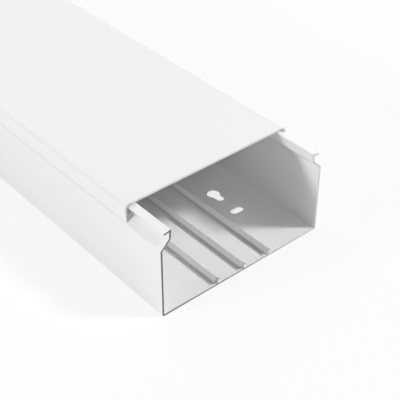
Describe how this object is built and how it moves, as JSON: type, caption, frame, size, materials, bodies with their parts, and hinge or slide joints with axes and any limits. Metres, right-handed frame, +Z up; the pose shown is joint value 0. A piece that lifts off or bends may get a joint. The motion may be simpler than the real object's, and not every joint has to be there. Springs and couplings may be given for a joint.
{
  "type": "cable trunking",
  "caption": "Long white plastic wall trunking: an open channel with stepped sides, clip ribs and punched fixing holes, under a clip-on lid that is slid back from one end.",
  "frame": {"origin": "middle of the base's underside, half way along the base", "axes": "+X across the width to the right as seen from the open end, +Y along the length away from the open end, +Z up out of the channel"},
  "size_m": [0.12, 2.03, 0.06],
  "materials": {
    "base_plastic": "white rigid PVC, satin, extruded, ends sawn",
    "lid_plastic": "white rigid PVC, satin, extruded, ends sawn"
  },
  "bodies": {
    "base": {"trunking_base": "base_plastic"},
    "lid": {"trunking_lid": "lid_plastic"}
  },
  "joints": [
    {"name": "lid_slide", "type": "slide", "parent": "base", "child": "lid", "axis": [0, 1, 0], "range_m": [-0.03, 0.95]}
  ]
}
